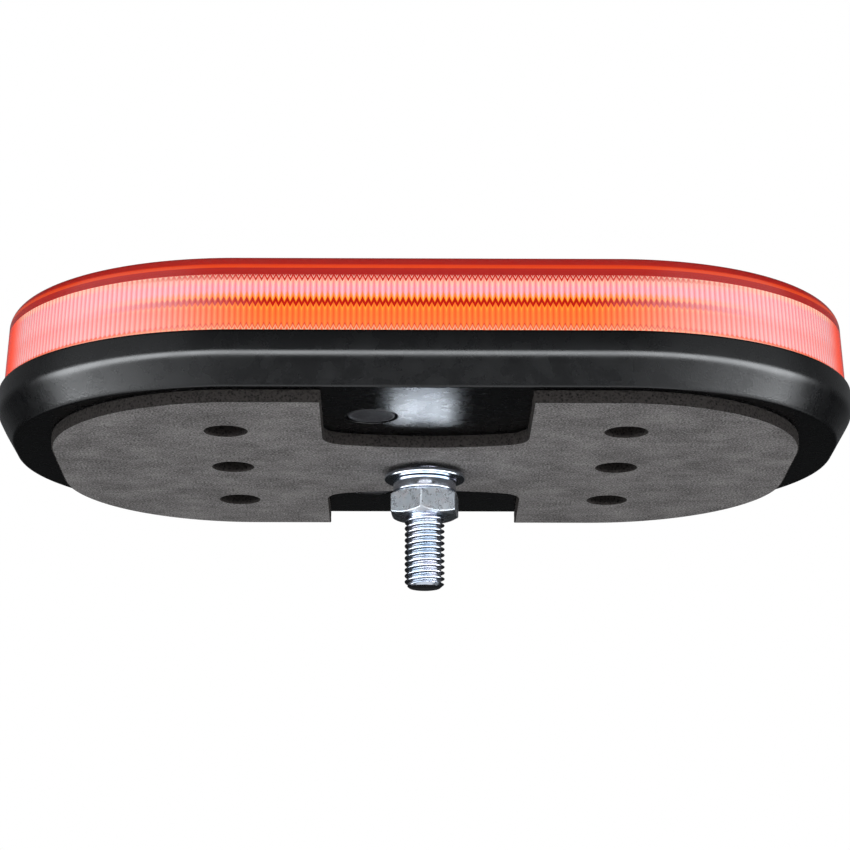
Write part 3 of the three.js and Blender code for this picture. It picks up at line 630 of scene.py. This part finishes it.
def lens_shell():
    low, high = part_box("lens_cover")
    top = high[2]
    m = MM
    radius = LENS_TOP_RADIUS
    shoulder = leaned(LENS_INSET, top - radius)
    profile = [(shoulder + radius + 1.0 * m, top)]
    for i in range(13):
        a = math.pi / 2 * (1 - i / 12)
        profile.append((shoulder + radius - radius * math.cos(a), top - radius + radius * math.sin(a)))
    for z in (top - 6 * m, RIM_Z + 6 * m, RIM_Z + 1 * m, low[2] + 0.1 * m, low[2]):
        profile.append((leaned(LENS_INSET, z), z))
    profile += [(LENS_INSET + LENS_WALL, low[2]), (LENS_INSET + LENS_WALL, RIM_Z)]
    inner = 1.0 * m
    ceiling = top - LENS_TOP
    foot = leaned(LENS_INSET, ceiling - inner) + LENS_WALL
    profile.append((foot - 0.35 * m, ceiling - inner - 6 * m))
    for i in range(7):
        a = math.pi / 2 * i / 6
        profile.append((foot + inner - inner * math.cos(a), ceiling - inner + inner * math.sin(a)))
    profile.append((foot + inner + 1.0 * m, ceiling))
    points = stepped_outline(56, 8)
    verts, faces = loft([ring_at(points, inset, z) for inset, z in profile])
    obj = make_object("lens_shell", verts, faces, [MATERIALS["lens"]], 40)
    ride(obj, "housing", "lens", "lens_cover")


def lens_flutes():
    """The fluted inner face of the wall, just inside the glass of the smooth shell, which carries the
    painted light of the lens.
    """
    points = even_outline(FLUTES_ROUND * POINTS_PER_FLUTE)
    wave = [abs(2 * ((i % POINTS_PER_FLUTE) / POINTS_PER_FLUTE) - 1) * 2 - 1 for i in range(len(points))]
    rings = []
    for height in FLUTE_HEIGHTS:
        z = height * MM
        depth = FLUTE_DEPTH * min(1.0, (30.5 - height) / 1.5 + 0.2)  # shallower at the very top
        inset = leaned(FLUTE_INSET, z)
        ring = []
        for (x, y, nx, ny), w in zip(points, wave):
            reach = CORNER - inset - depth * (0.5 - 0.5 * w)
            ring.append((x + nx * reach, MIDDLE_Y + y + ny * reach, z))
        rings.append(ring)
    for height in reversed(FLUTE_HEIGHTS):
        rings.append(ring_at(points, leaned(FLUTE_BACK_INSET, height * MM), height * MM))
    verts, faces = loft(rings, closed=True)
    obj = make_object("lens_flutes", verts, faces, [FLUTES], 60)
    attribute = obj.data.attributes.new("flute", "FLOAT", "POINT")
    attribute.data.foreach_set("value", wave * len(rings))
    ride(obj, "housing", "lens")


def lens_painted_glow_band():
    """A thin band inside the wall of the shell, which follows its top edge and carries the painted glow."""
    m = MM
    radius = LENS_TOP_RADIUS
    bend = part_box("lens_cover")[1][2] - radius
    foot = leaned(LENS_INSET, bend)
    sides = []
    for depth in (0.8 * m, 1.1 * m):
        side = [(foot + depth, bend - 1.3 * m)]
        for i in range(11):
            a = math.radians(80 * i / 10)
            reach = radius - depth
            side.append((foot + radius - reach * math.cos(a), bend + reach * math.sin(a)))
        sides.append(side)
    profile = sides[0] + sides[1][::-1]
    points = stepped_outline(56, 8)
    verts, faces = loft([ring_at(points, inset, z) for inset, z in profile], closed=True)
    obj = make_object("lens_painted_glow_band", verts, faces, [PAINTED_SHOULDER_GLOW], 40)
    ride(obj, "housing", "lens")


# ---------------------------------------------------------------- foam pad
def arc(cx, cy, radius, start, end, steps):
    angles = [math.radians(start + (end - start) * i / steps) for i in range(steps + 1)]
    return [(cx + radius * math.cos(a), cy + radius * math.sin(a)) for a in angles]


def bezier(a, b, c, steps):
    """Points of a quadratic curve from a to c, without a itself."""
    points = []
    for i in range(1, steps + 1):
        t = i / steps
        points.append(((1 - t) ** 2 * a[0] + 2 * t * (1 - t) * b[0] + t * t * c[0],
                       (1 - t) ** 2 * a[1] + 2 * t * (1 - t) * b[1] + t * t * c[1]))
    return points


def bay(side, reach, edge):
    """Outline of one bay, from its mouth round its bowed floor and back."""
    w, c, bow = BAY_HALF_WIDTH, BAY_CORNER, BAY_BOW
    floor = side * (reach + bow)
    points = [(side * w, side * edge), (side * w, floor + side * c)]
    bend = floor - side * 0.3 * bow
    points += bezier(points[-1], (side * w, floor), (side * (w - c), bend), 10)
    points += bezier(points[-1], (0, floor - side * 1.7 * bow), (-side * (w - c), bend), 24)
    points += bezier(points[-1], (-side * w, floor), (-side * w, floor + side * c), 10)
    points.append((-side * w, side * edge))
    return points


def foam_pad():
    low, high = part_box("foam_pad")
    x, y = high[0] / MM, (high[1] - low[1]) / 2 / MM
    middle = MIDDLE_Y / MM
    r = y - FOAM_END_FLAT / 2
    outer = arc(r - x, r - y, r, 180, 270, 40)
    outer += bay(-1, FRONT_BAY_REACH, y)
    outer += arc(x - r, r - y, r, 270, 360, 40)
    outer += arc(x - r, y - r, r, 0, 90, 40)
    outer += bay(1, REAR_BAY_REACH, y)
    outer += arc(r - x, y - r, r, 90, 180, 40)
    loops = [outer]
    for node in nodes_named("tray_screw"):
        cx, cy = centre_of(node)
        loops.append(arc(cx / MM, cy / MM - middle, SCREW_HOLE_RADIUS, 360, 0, 64)[:-1])
    loops.append(arc(0, -middle, BOLT_HOLE_RADIUS, 360, 0, 64)[:-1])
    loops = [without_repeats(loop) for loop in loops]
    # Rows up the cut edge: [how far the edge is drawn in, height].
    top = high[2] / MM
    rows = [(0.34, 0.0), (0.14, 0.05), (0.0, 0.32), (0.03, top / 2), (0.0, top - 0.32),
            (0.14, top - 0.05), (0.34, top)]
    bm = bmesh.new()
    first, last = [], []
    for loop in loops:
        grid = [[bm.verts.new((px * MM, (middle + py) * MM, z * MM)) for px, py in shrink(loop, inward)]
                for inward, z in rows]
        for a, b in zip(grid, grid[1:]):
            for i in range(len(a)):
                j = (i + 1) % len(a)
                bm.faces.new((a[i], a[j], b[j], b[i])).material_index = 1
        first += [bm.edges.get((v, w)) for v, w in zip(grid[0], grid[0][1:] + grid[0][:1])]
        last += [bm.edges.get((v, w)) for v, w in zip(grid[-1], grid[-1][1:] + grid[-1][:1])]
    for edges in (first, last):
        for face in bmesh.ops.triangle_fill(bm, edges=edges, use_beauty=True)["geom"]:
            if isinstance(face, bmesh.types.BMFace):
                face.material_index = 0
    mesh = bpy.data.meshes.new("foam_sheet")
    bm.to_mesh(mesh)
    bm.free()
    obj = finish_mesh("foam_sheet", mesh, [MATERIALS["foam"], FOAM_CUT_AND_SHADE], 40)
    ride(obj, "housing", "foam", "foam_pad")


def without_repeats(loop):
    return [point for i, point in enumerate(loop) if math.dist(point, loop[i - 1]) > 1e-6]


def shrink(loop, amount):
    """The loop moved towards the foam by amount; outer loops run counter-clockwise and holes clockwise."""
    result = []
    count = len(loop)
    for i in range(count):
        ax, ay = loop[i - 1]
        px, py = loop[i]
        bx, by = loop[(i + 1) % count]
        d1 = math.hypot(px - ax, py - ay)
        d2 = math.hypot(bx - px, by - py)
        n1 = (-(py - ay) / d1, (px - ax) / d1)
        n2 = (-(by - py) / d2, (bx - px) / d2)
        nx, ny = n1[0] + n2[0], n1[1] + n2[1]
        length = math.hypot(nx, ny)
        half = max(0.5, length / 2)
        result.append((px + nx / length * amount / half, py + ny / length * amount / half))
    return result


# ---------------------------------------------------------------- bolt, nut and washers
def thread_radius(turns):
    """Radius of the right-hand M10 x 1.5 thread, from the distance along its pitch in turns."""
    from_crest = abs(turns % 1.0 - 0.5) * 2
    t = min(1.0, max(0.0, (from_crest - 1 / 7) / (4 / 7)))
    return CREST - THREAD_DEPTH * (0.85 * t + 0.15 * t * t * (3 - 2 * t))


def stud():
    """The threaded shank, whose mesh lines follow the helix, and its hexagon head."""
    low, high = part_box("mounting_bolt")
    tail = low[2]
    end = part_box("reinforcement_plate")[1][2] + 0.1 * MM
    root = CREST - THREAD_DEPTH
    steps = 96
    first = -ROWS_PER_TURN
    last = math.ceil((end - tail) / PITCH * ROWS_PER_TURN) + ROWS_PER_TURN
    bm = bmesh.new()
    columns = []
    for a in range(steps):
        angle = 2 * math.pi * a / steps
        column = []
        for row in range(first, last + 1):
            z = min(end, max(tail, tail + PITCH * (row / ROWS_PER_TURN + a / steps)))
            turns = row / ROWS_PER_TURN + (tail - THREAD_START) / PITCH
            radius = min(thread_radius(turns), 3.9 * MM + (z - tail) * 1.15, root + (end - z) * 2)
            column.append(bm.verts.new((radius * math.cos(angle), radius * math.sin(angle), z)))
        columns.append(column)
    for a in range(steps):
        here = columns[a]
        beside = columns[(a + 1) % steps]
        shift = ROWS_PER_TURN if a == steps - 1 else 0
        for row in range(len(here) - 1 - shift):
            bm.faces.new((here[row], beside[row + shift], beside[row + 1 + shift], here[row + 1]))
    bmesh.ops.remove_doubles(bm, verts=list(bm.verts), dist=2e-6)
    bmesh.ops.holes_fill(bm, edges=[e for e in bm.edges if e.is_boundary], sides=0)
    mesh = bpy.data.meshes.new("stud_thread")
    bm.to_mesh(mesh)
    bm.free()
    ride(finish_mesh("stud_thread", mesh, [MATERIALS["zinc"]], 50), "housing", "zinc", "mounting_bolt")
    ride(hexagon_piece("stud_head", HEAD_FLATS, end + 0.2 * MM, high[2], 0.0, 0.0), "housing", "zinc")


def hexagon_ring(flats, turn):
    """Points of a hexagon with rounded corners."""
    edge = 0.45 * MM
    apothem = flats / 2 - edge
    reach = apothem / math.cos(math.pi / 6)
    points = []
    for corner in range(6):
        a = math.pi / 3 * corner - math.pi / 2 + turn
        cx, cy = reach * math.cos(a), reach * math.sin(a)
        for i in range(7):
            b = a + math.radians(-30 + 60 * i / 6)
            points.append((cx + edge * math.cos(b), cy + edge * math.sin(b)))
        b = a + math.pi / 3
        nx, ny = reach * math.cos(b), reach * math.sin(b)
        mid = a + math.pi / 6
        for i in range(1, 12):
            t = i / 12
            points.append((cx + (nx - cx) * t + edge * math.cos(mid),
                           cy + (ny - cy) * t + edge * math.sin(mid)))
    return points


def hexagon_piece(name, flats, z0, z1, bore, turn):
    """A nut or bolt head: hexagon faces meet the turned chamfer at each end in arcs."""
    outline = hexagon_ring(flats, turn)
    flat = flats / 2 - 0.35 * MM
    slope = math.tan(math.radians(30))

    def turned(radius, z):
        return [(x * radius / math.hypot(x, y), y * radius / math.hypot(x, y), z) for x, y in outline]

    def chamfered(z, sign, share=1.0):
        return [(x * share, y * share, z + sign * max(0.0, math.hypot(x, y) * share - flat) * slope)
                for x, y in outline]

    rings = [turned(flat - 0.8 * MM, z0), turned(flat, z0 + 0.04 * MM), chamfered(z0 + 0.04 * MM, 1, 0.988),
             chamfered(z0 + 0.16 * MM, 1), chamfered(z1 - 0.16 * MM, -1),
             chamfered(z1 - 0.04 * MM, -1, 0.988), turned(flat, z1 - 0.04 * MM), turned(flat - 0.8 * MM, z1)]
    if bore:
        rings += [turned(bore + 0.6 * MM, z1), turned(bore, z1 - 0.6 * MM), turned(bore, z0 + 0.6 * MM),
                  turned(bore + 0.6 * MM, z0)]
    verts, faces = loft(rings, closed=bool(bore))
    return make_object(name, verts, faces, [FORGED_PAINTED_BRIGHT], 24)


def rounded_section(inner, outer, z0, z1, edge):
    """Closed section of a flat ring with eased edges."""
    corners = [(inner + edge, z0 + edge, 180), (outer - edge, z0 + edge, 270), (outer - edge, z1 - edge, 0),
               (inner + edge, z1 - edge, 90)]
    section = []
    for r, z, start in corners:
        for i in range(5):
            a = math.radians(start + 90 * i / 4)
            section.append((r + edge * math.cos(a), z + edge * math.sin(a)))
    return section


def washers():
    low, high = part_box("flat_washer")
    flat = lathe("plain_washer", rounded_section(WASHER_BORE, high[0], low[2], high[2], 0.42 * MM),
                 [MATERIALS["zinc"]], 128, closed=True, sharp=60)
    ride(flat, "washers", "zinc", "flat_washer")
    low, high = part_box("spring_washer")
    section = rounded_section(WASHER_BORE, -low[0], low[2], high[2], 0.3 * MM)
    half_slot = math.asin(0.6 / 7)
    steps = 110
    lean_steps = 6
    rings = []
    for i in range(steps + 1):
        angle = half_slot + (2 * math.pi - 2 * half_slot) * i / steps
        # The faces of the slot lean, so it widens towards the top.
        lean = math.radians(5) * max(0.0, 1 - min(i, steps - i) / lean_steps) * (1 if i < steps / 2 else -1)
        ring = []
        for r, z in section:
            turn = angle + lean * (z - low[2]) / (high[2] - low[2])
            ring.append((r * math.cos(turn), r * math.sin(turn), z))
        rings.append(ring)
    split = make_object("split_washer", *loft(rings), [MATERIALS["zinc"]], 50)
    ride(split, "washers", "zinc", "spring_washer")


def nut():
    low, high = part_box("hex_nut")
    ride(hexagon_piece("nut", NUT_FLATS, low[2], high[2], NUT_BORE, NUT_TURN), "nut", "zinc", "hex_nut")


# ---------------------------------------------------------------- plugs and screws
def plugs():
    m = MM
    for name, node in (("vent_disc", "vent_plug"), ("entry_disc", "cable_entry_plug")):
        low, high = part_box(node)
        z = low[2]
        r = (high[0] - low[0]) / 2
        profile = [(0.35 * m, z + 0.28 * m), (r - 1.05 * m, z + 0.26 * m), (r - 0.8 * m, z + 0.2 * m),
                   (r - 0.6 * m, z + 0.06 * m), (r - 0.35 * m, z), (r - 0.12 * m, z + 0.08 * m),
                   (r, z + 0.3 * m), (r, z + 1.2 * m), (4.2 * m, z + 1.2 * m),
                   (4.2 * m, high[2] - 1.0 * m), (3.6 * m, high[2])]
        obj = lathe(name, profile, [MATERIALS["plug"]], 96, *centre_of(node), sharp=40)
        ride(obj, "housing", "plug", node)


def screws():
    """Pan head screws with a cross recess, seen up the wells."""
    m = MM
    for node in nodes_named("tray_screw", "driver_screw"):
        low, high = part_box(node)
        x, y = centre_of(node)
        up = node.startswith("tray")
        head_r = (high[0] - low[0]) / 2
        head_h = 2.4 * m if up else 1.8 * m
        shank = 2.0 * m if up else 1.5 * m
        length = high[2] - low[2]
        profile = [(0.3 * m, 0.0), (head_r * 0.45, 0.06 * m), (head_r * 0.72, 0.28 * m),
                   (head_r * 0.9, 0.75 * m), (head_r, head_h * 0.6), (head_r, head_h),
                   (shank, head_h), (shank, length - 0.6 * m), (shank * 0.6, length)]
        body = lathe(node + "_detail", profile, [MATERIALS["steel"]], 48, sharp=35)
        slots = []
        for turn in (0, math.pi / 2):
            half = Vector((head_r * 0.5, 0.42 * m, 1.2 * m))
            corners = [Vector((sx * half.x * (1.0 if sz < 0 else 0.55), sy * half.y, sz * half.z))
                       for sz in (-1, 1) for sx, sy in ((-1, -1), (1, -1), (1, 1), (-1, 1))]
            spin = Matrix.Rotation(turn + 0.4, 3, "Z")
            faces = [(3, 2, 1, 0), (4, 5, 6, 7), (0, 1, 5, 4), (1, 2, 6, 5), (2, 3, 7, 6), (3, 0, 4, 7)]
            slots.append(make_object("slot", [spin @ c for c in corners], faces, [MATERIALS["steel"]]))
        subtract(body, slots)
        for vertex in body.data.vertices:
            vx, vy, vz = vertex.co
            vertex.co = (x + vx, y + vy, low[2] + vz) if up else (x - vx, y + vy, high[2] - vz)
        body.data.update()
        ride(body, "housing", "steel", node)


# ---------------------------------------------------------------- small parts inside
def boxes(name, places, material, slot):
    """Many small bevelled blocks as one piece: [centre, half sizes, turn about Z]."""
    bm = bmesh.new()
    for centre, half, turn in places:
        place = Matrix.Translation(centre) @ Matrix.Rotation(turn, 4, "Z")
        size = Matrix.Diagonal((*[2 * h for h in half], 1.0))
        bmesh.ops.create_cube(bm, size=1.0, matrix=place @ size)
    bmesh.ops.bevel(bm, geom=list(bm.edges), offset=0.0001, segments=2, affect="EDGES")
    mesh = bpy.data.meshes.new(name)
    bm.to_mesh(mesh)
    bm.free()
    ride(finish_mesh(name, mesh, [material], 40), "housing", slot)


def small_parts():
    """Small surface-mount parts of the driver board, and the controller's pins."""
    m = MM
    board_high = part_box("driver_board")[1]
    z = board_high[2] + 0.35 * m
    passives = []
    for row in range(3):
        for column in range(7):
            x = (-18 + column * 3.1) * m
            y = MIDDLE_Y + (6.5 + row * 2.6) * m
            if abs(x) < board_high[0] - 3 * m:
                passives.append(((x, y, z), (0.9 * m, 0.5 * m, 0.3 * m), math.pi / 2 * (row % 2)))
    for column in range(6):
        x = (-7.5 + column * 3.0) * m
        passives.append(((x, MIDDLE_Y - 7.5 * m, z), (0.8 * m, 0.45 * m, 0.3 * m), 0.0))
    boxes("driver_passives", passives, MATERIALS["terminal"], "terminal")
    pins = []
    low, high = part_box("controller_chip")
    reach = high[0] + 0.45 * m
    z = low[2] + 0.1 * m
    for side in (-1, 1):
        for i in range(8):
            offset = (-2.8 + i * 0.8) * m
            pins.append(((side * reach, MIDDLE_Y + offset, z), (0.45 * m, 0.15 * m, 0.08 * m), 0.0))
            pins.append(((offset, MIDDLE_Y + side * reach, z), (0.15 * m, 0.45 * m, 0.08 * m), 0.0))
    boxes("chip_pins", pins, MATERIALS["steel"], "steel")


# ---------------------------------------------------------------- studio
def area_light(name, location, target, size, power):
    """A square lamp that adds light but shows in no reflection; the world's soft boxes do that."""
    data = bpy.data.lights.new(name, "AREA")
    data.shape = "SQUARE"
    data.size = size
    data.energy = power
    obj = bpy.data.objects.new(name, data)
    obj.location = location
    obj.rotation_euler = (Vector(target) - Vector(location)).to_track_quat("-Z", "Y").to_euler()
    obj.visible_camera = False
    obj.visible_glossy = False
    obj.visible_transmission = False
    bpy.context.scene.collection.objects.link(obj)


def studio_world():
    """White behind the object and through its lens; the object itself is lit by the soft boxes."""
    world = bpy.data.worlds.new("studio")
    bpy.context.scene.world = world
    world.use_nodes = True
    n = Nodes(world.node_tree)
    direction = n.add("ShaderNodeTexCoord").outputs["Generated"]
    axes = n.add("ShaderNodeSeparateXYZ", {"Vector": direction})
    azimuth = n.math("ARCTAN2", axes.outputs["X"], n.math("MULTIPLY", axes.outputs["Y"], -1.0))
    elevation = n.math("ARCSINE", axes.outputs["Z"])

    def panel(az, az_half, el, el_half, soft, radiance):
        da = n.math("ABSOLUTE", n.math("SUBTRACT", azimuth, math.radians(az)))
        de = n.math("ABSOLUTE", n.math("SUBTRACT", elevation, math.radians(el)))
        wide = n.smooth(da, math.radians(az_half + soft), math.radians(az_half - soft))
        tall = n.smooth(de, math.radians(el_half + soft * 0.5), math.radians(el_half - soft * 0.5))
        return n.math("MULTIPLY", n.math("MULTIPLY", wide, tall), radiance)

    total = FAINT_SURROUND
    for values in REFLECTED_PANELS:
        total = n.math("ADD", panel(*values), total)
    lit = n.add("ShaderNodeBackground", {"Strength": total, "Color": (0.94, 0.97, 1.0, 1.0)})
    white = n.add("ShaderNodeBackground", {"Strength": 1.0, "Color": (1.0, 1.0, 1.0, 1.0)})
    rays = n.add("ShaderNodeLightPath")
    seen = n.math("MAXIMUM", rays.outputs["Is Camera Ray"], rays.outputs["Is Transmission Ray"])
    final = n.add("ShaderNodeMixShader", {"Fac": seen})
    n.tree.links.new(lit.outputs[0], final.inputs[1])
    n.tree.links.new(white.outputs[0], final.inputs[2])
    n.add("ShaderNodeOutputWorld", {"Surface": final.outputs[0]})


def studio():
    studio_world()
    area_light("under_fill", (0.0, -0.1, -0.5), (0, 0, 0), 0.8, 0.57)
    area_light("key", (-0.5, -0.3, 0.9), (0, 0, 0.01), 0.7, 6.0)
    area_light("rear_fill", (0.4, 0.9, 0.35), (0, 0, 0.02), 0.6, 3.0)
    bm = bmesh.new()
    bmesh.ops.create_grid(bm, x_segments=1, y_segments=1, size=6.0)
    mesh = bpy.data.meshes.new("floor")
    bm.to_mesh(mesh)
    bm.free()
    floor = bpy.data.objects.new("floor", mesh)
    floor.location = (0, 0, FLOOR_Z)
    floor.visible_glossy = False
    mesh.materials.append(new_material("floor", pale_floor))
    bpy.context.scene.collection.objects.link(floor)


def camera():
    data = bpy.data.cameras.new("camera")
    data.lens = CAMERA_LENS
    data.sensor_width = 36
    data.clip_start = 0.01
    obj = bpy.data.objects.new("camera", data)
    bpy.context.scene.collection.objects.link(obj)
    yaw, tilt = CAMERA_YAW, CAMERA_TILT
    forward = Vector((-math.sin(yaw) * math.cos(tilt), math.cos(yaw) * math.cos(tilt), math.sin(tilt)))
    obj.location = Vector(CAMERA_TARGET) - CAMERA_DISTANCE * forward
    obj.rotation_euler = forward.to_track_quat("-Z", "Y").to_euler()
    bpy.context.scene.camera = obj


camera()
studio()
base_housing()
lens_shell()
lens_flutes()
lens_painted_glow_band()
foam_pad()
stud()
washers()
nut()
plugs()
screws()
small_parts()

bpy.context.scene.view_settings.view_transform = "Standard"
